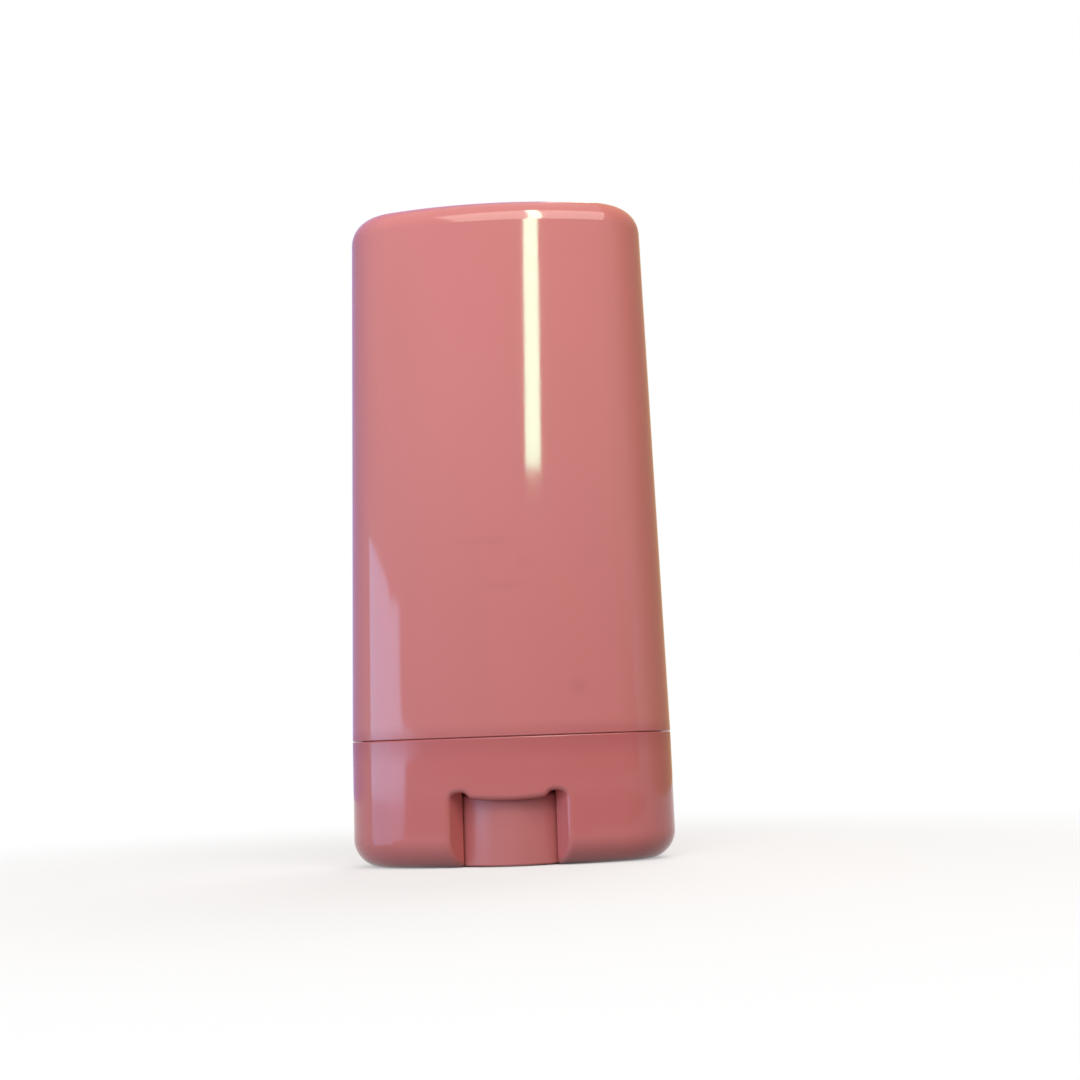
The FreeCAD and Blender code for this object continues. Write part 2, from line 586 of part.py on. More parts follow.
def make_barrel():
    """The oval barrel: tube, floor with a bearing boss, flange, cap collar and two end legs."""
    body = new_body("barrel")
    legs_to_rim = oval_sketch(body, "tube_outline", BARREL_OVAL, LEG_BOTTOM)
    pad(body, "tube", legs_to_rim, f"{BARREL_TOP} - {LEG_BOTTOM}")
    flange = oval_sketch(body, "flange_outline", FLANGE_OVAL, FLANGE_BOTTOM)
    pad(body, "flange", flange, "sizes.flange_thick")
    collar = oval_sketch(body, "collar_outline", COLLAR_OVAL, "sizes.base_height")
    pad(body, "cap_collar", collar, "sizes.collar_height", draft="-sizes.cap_draft")
    add_snap_bead(body)
    bore = oval_sketch(body, "bore_outline", BARREL_BORE, BARREL_TOP)
    pocket(body, "bore", bore, f"{BARREL_TOP} - {FLOOR_TOP}")
    under = oval_sketch(body, "under_outline", BARREL_BORE, LEG_BOTTOM)
    pocket(body, "under_floor", under, f"{FLOOR_BOTTOM} - {LEG_BOTTOM}", up=True)
    clear_wheel_sides(body)
    boss = circle_sketch(body, "boss_outline", BOSS_RADIUS, FLOOR_BOTTOM)
    pad(body, "bearing_boss", boss, "sizes.boss_height", down=True)
    bearing = circle_sketch(body, "bearing_outline", BEARING_RADIUS, FLOOR_TOP)
    pocket(body, "bearing", bearing, "sizes.floor_thick + sizes.boss_height")
    round_edges(body, "barrel_rim", "sizes.rim_edge", at_level(BARREL_TOP))
    return body


def clear_wheel_sides(body):
    """Opens the tube's wall under the floor behind the thumb openings, so that only the end legs stay."""
    sketch = new_sketch(body, "wheel_sides", offset=LEG_BOTTOM)
    half = f"({HOUSING_HALF} + sizes.housing_gap)"
    draw_box(sketch, f"-{half}", half, "-sizes.base_depth / 2", "sizes.base_depth / 2")
    pocket(body, "wheel_sides_room", sketch, f"{FLOOR_BOTTOM} - {LEG_BOTTOM}", up=True)


def add_snap_bead(body):
    """A low ridge round the collar, sloped above and below, that holds the cap."""
    level = "(sizes.base_height + sizes.bead_level)"
    foot = inset(COLLAR_OVAL, "sizes.bead_level * tan(sizes.cap_draft)")
    crest = inset(foot, "-sizes.bead_rise")
    slope = "-atan((sizes.bead_rise + sizes.bead_sink) / sizes.bead_half)"
    outline = oval_sketch(body, "bead_outline", crest, level)
    pad(body, "snap_bead", outline, "sizes.bead_half", draft=slope,
        length_down="sizes.bead_half", draft_down=slope)


def make_lifting_cup():
    """The lifting cup: an oval plate with a rim, ribs, keying holes and a nut with two lugs."""
    body = new_body("lifting_cup")
    plate = oval_sketch(body, "plate_outline", CUP_OVAL, CUP_BOTTOM)
    pad(body, "cup_form", plate, "sizes.cup_plate + sizes.cup_rim")
    inside = oval_sketch(body, "cup_inside", CUP_BORE, f"{CUP_PLATE_TOP} + sizes.cup_rim")
    pocket(body, "cup_hollow", inside, "sizes.cup_rim")
    add_cup_ribs(body)
    nut = circle_sketch(body, "nut_outline", NUT_RADIUS, CUP_BOTTOM)
    pad(body, "nut", nut, f"{NUT_TOP} - {CUP_BOTTOM}")
    hole = circle_sketch(body, "nut_bore", NUT_BORE, CUP_BOTTOM)
    pocket(body, "nut_hole", hole, f"{NUT_TOP} - {CUP_BOTTOM}", up=True)
    add_lugs(body)
    cut_key_holes(body)
    return body


def add_cup_ribs(body):
    """A rib along the cup and one across it on each side of the screw, all ending in the rim."""
    foot = f"{CUP_PLATE_TOP} - sizes.cup_plate / 2"
    height = "sizes.cup_rib_height + sizes.cup_plate / 2"
    half = "sizes.cup_wall / 2"
    along = new_sketch(body, "long_rib_outline", offset=foot)
    reach = f"({CUP_BORE[0]} / 2 + {half})"
    draw_box(along, f"-{reach}", reach, f"-{half}", half)
    pad(body, "long_rib", along, height)
    across = new_sketch(body, "cross_rib_outline", offset=foot)
    side = f"({side_at(CUP_BORE, CROSS_RIB)} + {half})"
    draw_box(across, f"{CROSS_RIB} - {half}", f"{CROSS_RIB} + {half}", f"-{side}", side)
    rib = pad(body, "cross_rib", across, height)
    pattern(body, "cross_ribs", [rib], "Mirrored", "YZ_Plane")


def add_lugs(body):
    """Two lugs inside the nut, half a turn and half a lead apart, that run in the thread."""
    inner = "(sizes.core_radius + sizes.lug_gap)"
    outer = f"({NUT_BORE} + sizes.nut_wall / 2)"
    half = "sizes.lug_width / 2"
    near = new_sketch(body, "lower_lug_outline", offset=LOWER_LUG)
    draw_box(near, inner, outer, f"-{half}", half)
    pad(body, "lower_lug", near, LUG_HEIGHT)
    far = new_sketch(body, "upper_lug_outline", offset=UPPER_LUG)
    draw_box(far, f"-{outer}", f"-{inner}", f"-{half}", half)
    pad(body, "upper_lug", far, LUG_HEIGHT)


def cut_key_holes(body):
    """Four holes in the plate, into which the stick is moulded so that it can't slip."""
    sketch = new_sketch(body, "key_outline", offset=CUP_PLATE_TOP)
    along = f"(({NUT_RADIUS} + {CROSS_RIB}) / 2)"
    aside = f"({CUP_BORE[1]} / 2 - sizes.key_edge - sizes.key_radius)"
    corners = [(x, y) for x in (along, f"-{along}") for y in (aside, f"-{aside}")]
    for number, (x, y) in enumerate(corners, start=1):
        draw_circle(sketch, "sizes.key_radius", f"key{number}", x, y)
    pocket(body, "key_holes", sketch, "sizes.cup_plate")


def make_spindle():
    """The screw: square tang, journal, collar and a core with one coarse right-hand thread."""
    body = new_body("spindle")
    core = circle_sketch(body, "core_outline", "sizes.core_radius", COLLAR_BOTTOM)
    pad(body, "core", core, f"{SCREW_TOP} - {COLLAR_BOTTOM}")
    round_edges(body, "tip", "sizes.tip_chamfer", at_level(SCREW_TOP), "Chamfer")
    collar = circle_sketch(body, "collar_outline", COLLAR_RADIUS, COLLAR_BOTTOM)
    pad(body, "collar", collar, "sizes.collar_thick")
    journal_end = f"({DIAL_TOP} + sizes.thrust_gap)"
    journal = circle_sketch(body, "journal_outline", JOURNAL_RADIUS, COLLAR_BOTTOM)
    pad(body, "journal", journal, f"{COLLAR_BOTTOM} - {journal_end}", down=True)
    tang = new_sketch(body, "tang_outline", offset=journal_end)
    half = "sizes.tang_width / 2"
    draw_box(tang, f"-{half}", half, f"-{half}", half)
    pad(body, "tang", tang, f"{journal_end} - sizes.dial_rise - sizes.dial_rib_rise", down=True)
    add_thread(body)
    return body


def add_thread(body):
    """The thread's ridge: a trapezium, its root a little inside the core, swept up a helix."""
    sketch = new_sketch(body, "thread_outline", role="XZ_Plane")
    sunk_root = "(sizes.core_radius - sizes.crest_width / 4)"
    corners = [
        (sunk_root, f"{THREAD_START} - sizes.root_width / 2"),
        (CREST_RADIUS, f"{THREAD_START} - sizes.crest_width / 2"),
        (CREST_RADIUS, f"{THREAD_START} + sizes.crest_width / 2"),
        (sunk_root, f"{THREAD_START} + sizes.root_width / 2"),
    ]
    lines = draw_polygon(sketch, [(size(x), size(z)) for x, z in corners])
    for number, (line, (x, z)) in enumerate(zip(lines, corners)):
        drive(sketch, Sketcher.Constraint("DistanceX", ORIGIN, START, line, START, size(x)), f"x{number}", x)
        drive(sketch, Sketcher.Constraint("DistanceY", ORIGIN, START, line, START, size(z)), f"z{number}", z)
    thread = body.newObject("PartDesign::AdditiveHelix", "thread")
    thread.Profile = sketch
    thread.ReferenceAxis = (sketch, ["V_Axis"])
    thread.Mode = "pitch-turns-angle"
    thread.setExpression("Pitch", "sizes.lead")
    thread.setExpression("Turns", THREAD_TURNS)
    finish_feature(body, thread, adds=True)


def make_dial():
    """The thumbwheel: a smooth rim and web with a hub, a square socket and ribs underneath."""
    body = new_body("dial")
    outline = circle_sketch(body, "wheel_outline", DIAL_RADIUS, "sizes.dial_rise")
    pad(body, "wheel", outline, "sizes.dial_height")
    round_edges(body, "upper_edge", "sizes.dial_shoulder", at_level(DIAL_TOP))
    round_edges(body, "lower_edge", "sizes.dial_foot", at_level("sizes.dial_rise"))
    hollow = new_sketch(body, "hollow_outline", offset="sizes.dial_rise")
    draw_circle(hollow, f"{DIAL_RADIUS} - sizes.dial_wall", "rim_inside")
    draw_circle(hollow, HUB_RADIUS, "hub")
    pocket(body, "hollow", hollow, "sizes.dial_height - sizes.dial_wall", up=True)
    hub_face = circle_sketch(body, "hub_face", HUB_RADIUS, "sizes.dial_rise")
    pocket(body, "hub_recess", hub_face, "sizes.dial_rib_rise", up=True)
    rib_outline = new_sketch(body, "rib_outline", offset="sizes.dial_rise + sizes.dial_rib_rise")
    draw_box(rib_outline, f"{HUB_RADIUS} - sizes.dial_wall / 2", f"{DIAL_RADIUS} - sizes.dial_wall / 2",
             "-sizes.dial_rib_thick / 2", "sizes.dial_rib_thick / 2")
    rib = pad(body, "rib", rib_outline, "sizes.dial_height - sizes.dial_rib_rise - sizes.dial_wall / 2")
    pattern(body, "ribs", [rib], "PolarPattern", "Z_Axis", "sizes.dial_ribs")
    socket = new_sketch(body, "socket_outline", offset=DIAL_TOP)
    half = "(sizes.tang_width / 2 + sizes.tang_gap)"
    draw_box(socket, f"-{half}", half, f"-{half}", half)
    pocket(body, "socket", socket, "sizes.dial_height")
    return body


PIECES = [make_cap(), make_base_shell(), make_barrel(), make_lifting_cup(), make_spindle(), make_dial()]


def check_document(pieces):
    """Stops if any object failed, or if a piece is empty, broken or in more than one part."""
    doc.recompute()
    for item in doc.Objects:
        if "Invalid" in item.State or "Error" in item.State:
            raise RuntimeError(f"{item.Label} failed: {item.State}")
    for piece in pieces:
        shape = piece.Shape
        if shape.isNull() or not shape.isValid() or len(shape.Solids) != 1:
            raise RuntimeError(f"{piece.Label} is not one sound solid")


check_document(PIECES)
os.makedirs("parts", exist_ok=True)
for piece in PIECES:
    piece.Shape.exportStep(f"parts/{piece.Label}.step")
    box = piece.Shape.BoundBox
    print(f"{piece.Label}: volume {piece.Shape.Volume:.0f} mm3, x {box.XMin:.2f} to {box.XMax:.2f}, "
          f"y {box.YMin:.2f} to {box.YMax:.2f}, z {box.ZMin:.2f} to {box.ZMax:.2f}")
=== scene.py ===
"""The looks of a twist-up stick container: finishes for its moulded pieces, a plain studio and a camera.

Lengths are in metres in the pack's own frame: origin at the middle of the foot, +X across the width,
+Z up, front towards -Y. Every piece comes from the frame, where it has its real size.
"""

import json
import math
from typing import NamedTuple

import bpy
from mathutils import Matrix, Vector


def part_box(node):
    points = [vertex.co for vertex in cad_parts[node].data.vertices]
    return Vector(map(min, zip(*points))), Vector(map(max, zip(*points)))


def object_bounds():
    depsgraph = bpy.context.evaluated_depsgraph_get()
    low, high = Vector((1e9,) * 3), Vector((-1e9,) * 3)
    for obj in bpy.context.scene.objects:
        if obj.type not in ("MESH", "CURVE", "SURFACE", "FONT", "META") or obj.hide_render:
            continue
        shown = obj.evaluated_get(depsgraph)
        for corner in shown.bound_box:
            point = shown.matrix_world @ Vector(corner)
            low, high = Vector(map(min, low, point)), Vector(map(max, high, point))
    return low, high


bl_info = {
    "name": "Twist-up Stick Container",
    "version": (1, 0, 0),
    "blender": (4, 5, 0),
    "location": "View3D > Sidebar > Stick",
    "description": "Finishes the pieces of a twist-up stick container and sets up its studio",
    "category": "Object",
}

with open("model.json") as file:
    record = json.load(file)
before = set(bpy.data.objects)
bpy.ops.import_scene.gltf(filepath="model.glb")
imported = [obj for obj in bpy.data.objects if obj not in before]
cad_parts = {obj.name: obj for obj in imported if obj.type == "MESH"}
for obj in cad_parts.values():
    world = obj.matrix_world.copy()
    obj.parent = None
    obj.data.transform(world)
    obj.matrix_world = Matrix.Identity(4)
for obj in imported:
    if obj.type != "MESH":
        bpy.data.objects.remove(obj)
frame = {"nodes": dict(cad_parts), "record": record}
CAD_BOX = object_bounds()
SLOT_COLOURS = {row["slot"]: row["base_color"] for row in frame["record"]["materials"]}
MM = 0.001
WHITE = (1.0, 1.0, 1.0, 1.0)


# Shader maths

class Wire:
    """One socket of a node tree. Sums, differences and products of wires add Math nodes."""

    def __init__(self, tree, socket=None):
        self.tree = tree
        self.socket = socket

    def node(self, kind, settings=None, inputs=None, output=0):
        """Adds any node: first its settings, then a value or a wire for each named socket."""
        made = self.tree.nodes.new(kind)
        for name, value in (settings or {}).items():
            setattr(made, name, value)
        for name, value in (inputs or {}).items():
            if isinstance(value, Wire):
                self.tree.links.new(value.socket, made.inputs[name])
            else:
                made.inputs[name].default_value = value
        return Wire(self.tree, made.outputs[output] if made.outputs else None)

    def math(self, operation, *values):
        """A Math node on this wire and the values after it."""
        inputs = dict(enumerate((self, *values)))
        return self.node("ShaderNodeMath", {"operation": operation}, inputs)

    def vector(self, operation, *values, output="Vector"):
        """A Vector Math node on this wire and the values after it."""
        inputs = dict(enumerate((self, *values)))
        return self.node("ShaderNodeVectorMath", {"operation": operation}, inputs, output)

    def __add__(self, other):
        return self.math("ADD", other)

    __radd__ = __add__

    def __mul__(self, other):
        return self.math("MULTIPLY", other)

    __rmul__ = __mul__

    def __sub__(self, other):
        return self.math("SUBTRACT", other)

    def __rsub__(self, other):
        return (self * -1.0) + other

    def fade(self, low, high):
        """0 below low and 1 above high, with a smooth step between them."""
        inputs = {"Value": self, "From Min": low, "From Max": high}
        return self.node("ShaderNodeMapRange", {"interpolation_type": "SMOOTHSTEP"}, inputs)


def new_material(name):
    """An empty material and a wire that starts its node tree."""
    material = bpy.data.materials.new(name)
    material.use_nodes = True
    material.node_tree.nodes.clear()
    return material, Wire(material.node_tree)


def noise(place, size, detail, stretch=(1, 1, 1)):
    """Noise from 0 to 1, with lumps about one size across. Stretch below 1 makes them longer that way."""
    inputs = {"Vector": place.vector("MULTIPLY", stretch), "Scale": 1 / size, "Detail": detail}
    return place.node("ShaderNodeTexNoise", None, inputs, "Fac")


def blend_colours(factor, low, high):
    """A colour between two others, by a factor from 0 to 1."""
    inputs = {"Factor": factor, "A": low, "B": high}
    return factor.node("ShaderNodeMix", {"data_type": "RGBA"}, inputs, "Result")


def shade(colour, red, green, blue):
    """A colour as four numbers, with each of the first three multiplied by a factor."""
    return (colour[0] * red, colour[1] * green, colour[2] * blue, 1.0)


def flow_tones(pattern, colour, spread):
    """A colour a little darker and a little lighter than itself, as a pattern from 0 to 1 goes."""
    darker = shade(colour, *[1 - spread] * 3)
    lighter = shade(colour, *[1 + spread] * 3)
    return blend_colours(pattern.fade(0.25, 0.75), darker, lighter)


def relief(place, height):
    """The normal of a surface that is raised by a height in metres."""
    inputs = {"Strength": 1.0, "Distance": 1.0, "Height": height}
    return place.node("ShaderNodeBump", None, inputs, "Normal")


def assign(piece, material):
    """Gives a piece one finish all over."""
    piece.data.materials.clear()
    piece.data.materials.append(material)


# Finishes

PLASTIC_IOR = 1.47
SEAM_SHADE_TINT = (0.84, 0.76, 0.78)  # of the piece's own colour: painted shade in the dark band at a seam
SEAM_HAZE = 0.16  # roughness added across the band of painted seam shade
GRIME_TINT = (0.72, 0.66, 0.66)  # of the piece's own colour, in a handling mark
GRIME_HAZE = 0.02  # roughness that thin grime adds
GRIME_COVER = 0.04  # how dark the thin grime is


class Mark(NamedTuple):
    """A handling mark. Stretch below 1 makes it longer that way, and depth is how dark it is."""

    centre: tuple
    reach: float
    stretch: tuple
    depth: float

    def cover(self, place):
        """The mark's depth at its centre, fading smoothly to 0 at its reach."""
        scaled = place.vector("SUBTRACT", self.centre).vector("MULTIPLY", self.stretch)
        return (1 - scaled.vector("LENGTH", output="Value").fade(0.0, self.reach)) * self.depth


def gloss_plastic(name, colour, roughness, ripple, seam, marks=()):
    """A polished moulding: long shallow ripples in the gloss, faint flow tones, painted shade as a dark
    soft band at the seam and handling marks. Seam is the height where the painted shade is darkest and the
    height where it has gone."""
    material, start = new_material(name)
    place = start.node("ShaderNodeTexCoord", output="Object")
    height = start.node("ShaderNodeSeparateXYZ", None, {"Vector": place}, "Z")
    flow = noise(place, 16 * MM, 3.0, (1, 1, 0.35))
    grime = noise(place, 9 * MM, 4.0)
    darkest, gone = seam
    from_seam = height - darkest if gone > darkest else darkest - height
    near_seam = 1 - from_seam.fade(0.0, abs(gone - darkest))
    # Painted shade: the colour darkens near the seam, mottled by the grime noise.
    tone = blend_colours(near_seam * 0.75 + near_seam * grime * 0.25,
                         flow_tones(flow, colour, 0.015), shade(colour, *SEAM_SHADE_TINT))
    cover = grime * GRIME_COVER
    for mark in marks:
        cover = cover + mark.cover(place)
    waves = noise(place, 21 * MM, 1.0, (1, 1, 0.6)) + noise(place, 1.6 * MM, 2.0) * 0.02
    principled = place.node("ShaderNodeBsdfPrincipled", None, {
        "Base Color": blend_colours(cover, tone, shade(colour, *GRIME_TINT)),
        "Roughness": grime * GRIME_HAZE + near_seam * SEAM_HAZE + roughness,
        "IOR": PLASTIC_IOR,
        "Normal": relief(place, waves * ripple),
    })
    principled.node("ShaderNodeOutputMaterial", None, {"Surface": principled})
    return material


def satin_plastic(name, colour, roughness, grain, softness=0.0):
    """A moulding with a fine even grain over long low waves. Softness lets light a little way in, as in
    uncoloured plastic."""
    material, start = new_material(name)
    place = start.node("ShaderNodeTexCoord", output="Object")
    flow = noise(place, 12 * MM, 3.0, (1, 1, 0.4))
    waves = noise(place, 0.45 * MM, 2.0) + noise(place, 14 * MM, 1.0) * 6
    principled = place.node("ShaderNodeBsdfPrincipled", None, {
        "Base Color": flow_tones(flow, colour, 0.03),
        "Roughness": flow * 0.08 + roughness,
        "IOR": PLASTIC_IOR,
        "Subsurface Weight": softness,
        "Subsurface Radius": (1.0, 0.9, 0.75),
        "Subsurface Scale": 1.2 * MM,
        "Normal": relief(place, waves * grain),
    })
    principled.node("ShaderNodeOutputMaterial", None, {"Surface": principled})
    return material


# Settings

def colour_setting(name, description, slot):
    """A colour that starts as the record's colour of a material slot."""
    return bpy.props.FloatVectorProperty(
        name=name, description=description, default=SLOT_COLOURS[slot][:3],
        size=3, subtype="COLOR", min=0, max=1)


class StickFinish(bpy.types.PropertyGroup):
    """Colours and gloss of the pieces."""

    cap_colour: colour_setting("Cap", "Colour of the cap", "cap_gloss")
    # The base's colour is darker than the cap's: painted shade for the light falling off towards the foot.
    base_colour: colour_setting("Base", "Colour of the base shell", "base_gloss")
    barrel_colour: colour_setting("Barrel", "Colour of the barrel", "barrel_satin")
    wheel_colour: colour_setting("Wheel", "Colour of the thumbwheel", "dial_gloss")
    natural_colour: colour_setting("Screw and cup", "Colour of the uncoloured pieces", "natural_plastic")
    gloss: bpy.props.FloatProperty(
        name="Gloss roughness", description="Roughness of the cap and the base",
        default=0.055, min=0.02, max=1.0, subtype="FACTOR")
    wheel_gloss: bpy.props.FloatProperty(
        name="Wheel roughness", description="Roughness of the thumbwheel",
        default=0.275, min=0.02, max=1.0, subtype="FACTOR")
    satin: bpy.props.FloatProperty(
        name="Satin roughness", description="Roughness of the barrel",
        default=0.34, min=0.02, max=1.0, subtype="FACTOR")
    natural_satin: bpy.props.FloatProperty(
        name="Screw and cup roughness", description="Roughness of the uncoloured pieces",
        default=0.3, min=0.02, max=1.0, subtype="FACTOR")
    ripple: bpy.props.FloatProperty(
        name="Ripple", description="Height of the shallow ripples in the gloss",
        default=0.02 * MM, precision=6, unit="LENGTH")
    grain: bpy.props.FloatProperty(
        name="Grain", description="Height of the fine grain of the satin pieces",
        default=0.001 * MM, precision=7, unit="LENGTH")


class StickStudio(bpy.types.PropertyGroup):
    """The camera and the light."""

    distance: bpy.props.FloatProperty(
        name="Camera distance", description="From the pack's axis to the camera",
        default=300 * MM, unit="LENGTH")
    turn: bpy.props.FloatProperty(
        name="Camera turn", description="How far the camera stands round to the right of the front",
        default=math.radians(3.97), unit="ROTATION")
    roll: bpy.props.FloatProperty(
        name="Camera roll", description="Tilt of the camera about its line of sight",
        default=math.radians(-2.04), unit="ROTATION")
    height: bpy.props.FloatProperty(
        name="Camera height", description="Height of the camera above the floor",
        default=22 * MM, unit="LENGTH")
    aim_height: bpy.props.FloatProperty(
        name="Aim height", description="Height of the point that the camera looks at",
        default=61.6 * MM, unit="LENGTH")
    aim_side: bpy.props.FloatProperty(
        name="Aim to the side", description="How far right of the pack's axis the camera looks",
        default=6.9 * MM, unit="LENGTH")
    focal: bpy.props.FloatProperty(
        name="Focal length", description="Of the lens, in millimetres, on a frame 36 mm wide",
        default=51.47, min=1)
    room: bpy.props.FloatProperty(
        name="Room light", description="Light that comes from all round", default=0.28, min=0, max=2)
    strip_level: bpy.props.FloatProperty(
        name="Strip", description="Brightness of the tall strip", default=23.0, min=0)
    window_level: bpy.props.FloatProperty(
        name="Window", description="Brightness of the window on the left", default=5.7, min=0)
    spill_level: bpy.props.FloatProperty(
        name="Window spill", description="Brightness of the window's gleam on the floor",
        default=3.0, min=0)
    key_level: bpy.props.FloatProperty(
        name="Key light", description="Brightness of the softbox above the front", default=4.1, min=0)
    fill_level: bpy.props.FloatProperty(
        name="Front fill", description="Brightness of the softbox before the front", default=2.0, min=0)
    back_level: bpy.props.FloatProperty(
        name="Back fill", description="Brightness of the softbox behind", default=3.0, min=0)
    floor_colour: bpy.props.FloatVectorProperty(
        name="Floor", description="Colour of the floor", default=(0.26, 0.235, 0.235),
        size=3, subtype="COLOR", min=0, max=1)


# Pieces

class STICK_OT_cap(bpy.types.Operator):
    """Finish the long cap"""

    bl_idname = "stick.cap"
    bl_label = "Cap"

    def execute(self, context):
        finish = context.scene.stick_finish
        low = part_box("cap")[0]
        front, rim = low.y + 0.7 * MM, low.z
        thumb_smudge = Mark((13.5 * MM, front + 1.0 * MM, rim + 8.8 * MM), 2.8 * MM, (1, 1, 1), 0.22)
        faint_smudge = Mark((4.5 * MM, front, rim + 32.3 * MM), 2.5 * MM, (1, 1, 1), 0.10)
        long_scuff = Mark((-3.0 * MM, front, rim + 36.3 * MM), 1.5 * MM, (0.12, 1, 1), 0.12)
        short_scuff = Mark((1.0 * MM, front, rim + 27.8 * MM), 1.5 * MM, (0.20, 1, 1), 0.12)
        marks = (thumb_smudge, faint_smudge, long_scuff, short_scuff)
        # Painted shade: the cap's colour darkens over its lowest 3 mm, above the seam with the base.
        material = gloss_plastic("cap_gloss", finish.cap_colour, finish.gloss, finish.ripple,
                                 (rim, rim + 3.0 * MM), marks)
        assign(frame["nodes"]["cap"], material)
        return {"FINISHED"}


class STICK_OT_base(bpy.types.Operator):
    """Finish the shell of the base"""

    bl_idname = "stick.base"
    bl_label = "Base shell"

    def execute(self, context):
        finish = context.scene.stick_finish
        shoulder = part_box("base_shell")[1].z
        # Painted shade: the base's colour darkens over its top 5 mm, below the cap's rim.
        material = gloss_plastic("base_gloss", finish.base_colour, finish.gloss, finish.ripple,
                                 (shoulder, shoulder - 5.0 * MM))
        assign(frame["nodes"]["base_shell"], material)
        return {"FINISHED"}


class STICK_OT_wheel(bpy.types.Operator):
    """Finish the thumbwheel"""

    bl_idname = "stick.wheel"
    bl_label = "Thumbwheel"

    def execute(self, context):
        finish = context.scene.stick_finish
        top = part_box("dial")[1].z
        # Painted shadow of the lip on the wheel: darkest 1.4 mm below the wheel's top, gone 3.8 mm below
        # it.
        material = gloss_plastic("dial_gloss", finish.wheel_colour, finish.wheel_gloss, finish.ripple,
                                 (top - 1.4 * MM, top - 3.8 * MM))
        assign(frame["nodes"]["dial"], material)
        return {"FINISHED"}


class STICK_OT_barrel(bpy.types.Operator):
    """Finish the barrel that the cap slides over"""

    bl_idname = "stick.barrel"
    bl_label = "Barrel"

    def execute(self, context):
        finish = context.scene.stick_finish
        material = satin_plastic("barrel_satin", finish.barrel_colour, finish.satin, finish.grain)
        assign(frame["nodes"]["barrel"], material)
        return {"FINISHED"}


class STICK_OT_lift(bpy.types.Operator):
    """Finish the screw and the lifting cup"""

    bl_idname = "stick.lift"
    bl_label = "Screw and lifting cup"

    def execute(self, context):
        finish = context.scene.stick_finish
        material = satin_plastic("natural_plastic", finish.natural_colour, finish.natural_satin,
                                 finish.grain, softness=0.3)
        for node in ("spindle", "lifting_cup"):
            assign(frame["nodes"][node], material)
        return {"FINISHED"}


# Studio

STRIP_TINT = (0.50, 1.0, 0.72)
WINDOW_TINT = (0.42, 0.66, 1.0)
SHADE_TINT = (0.50, 0.40, 0.42)
ROOM_TINT = (1.0, 0.94, 0.88, 1.0)
SEEN_FLOOR = (0.86, 0.85, 0.85, 1.0)
SENSOR_WIDTH = 36.0  # mm


def emitter(name, colour, strength):
    """A material that only gives light."""
    material, start = new_material(name)
    glow = start.node("ShaderNodeEmission", None, {"Color": (*colour, 1.0), "Strength": strength})
    glow.node("ShaderNodeOutputMaterial", None, {"Surface": glow})
    return material


def direction(azimuth, elevation):
    """A unit vector: azimuth in degrees to the right of the front, elevation in degrees."""
    turn = math.radians(azimuth)
    rise = math.radians(elevation)
    return Vector((math.sin(turn) * math.cos(rise), -math.cos(turn) * math.cos(rise), math.sin(rise)))


def flag_cloth(name, colour, strength, way, clear, full):
    """A dim material. Along a direction from the origin it is full up to one distance and clear past
    another."""
    material, start = new_material(name)
    place = start.node("ShaderNodeTexCoord", output="Object")
    along = place.vector("DOT_PRODUCT", way, output="Value")
    glow = start.node("ShaderNodeEmission", None, {"Color": (*colour, 1.0), "Strength": strength})
    open_air = start.node("ShaderNodeBsdfTransparent")
    mixed = start.node("ShaderNodeMixShader", None, {0: along.fade(full, clear), 1: glow, 2: open_air})
    mixed.node("ShaderNodeOutputMaterial", None, {"Surface": mixed})
    return material


def flat_sheet(name, points, material):
    """One flat face through some points, as part of the studio."""
    mesh = bpy.data.meshes.new(name)
    mesh.from_pydata(points, [], [range(len(points))])
    mesh.materials.append(material)
    sheet = bpy.data.objects.new(name, mesh)
    bpy.context.scene.collection.objects.link(sheet)
    return sheet


def show_in_gloss(sheet, gloss_only=True):
    """Hides a sheet from the camera and its shadow too. One that is gloss only gives no other light."""
    sheet.visible_camera = False
    sheet.visible_shadow = False
    sheet.visible_diffuse = not gloss_only


def card(name, middle, corners, distance, material, gloss_only=True):
    """A flat sheet seen from a point: its corners are (azimuth, elevation) pairs at one distance ahead."""
    ways = [direction(*corner) for corner in corners]
    ahead = sum(ways, Vector()).normalized()
    points = [middle + way * (distance / way.dot(ahead)) for way in ways]
    show_in_gloss(flat_sheet(name, points, material), gloss_only)


def span(start, end, low, high):
    """The corners of a card between two azimuths and two elevations."""
    return [(start, low), (end, low), (end, high), (start, high)]


def softbox(name, azimuth, elevation, distance, size, radiance, colour, target):
    """A rectangular lamp that faces a target from a direction. Its power follows from its radiance."""
    lamp = bpy.data.lights.new(name, "AREA")
    lamp.shape = "RECTANGLE"
    lamp.size = size[0]
    lamp.size_y = size[1]
    lamp.color = colour
    lamp.energy = radiance * math.pi * size[0] * size[1]
    holder = bpy.data.objects.new(name, lamp)
    way = direction(azimuth, elevation)
    holder.location = target + way * distance
    holder.rotation_mode = "QUATERNION"
    holder.rotation_quaternion = way.to_track_quat("Z", "Y")
    bpy.context.scene.collection.objects.link(holder)
    return holder


def seen_rays(start):
    """1 for rays from the camera and for those that gloss or glass sends on, otherwise 0."""
    camera, glossy, transmission = [
        start.node("ShaderNodeLightPath", output=f"Is {kind} Ray")
        for kind in ("Camera", "Glossy", "Transmission")
    ]
    return (camera + glossy + transmission).math("MINIMUM", 1.0)


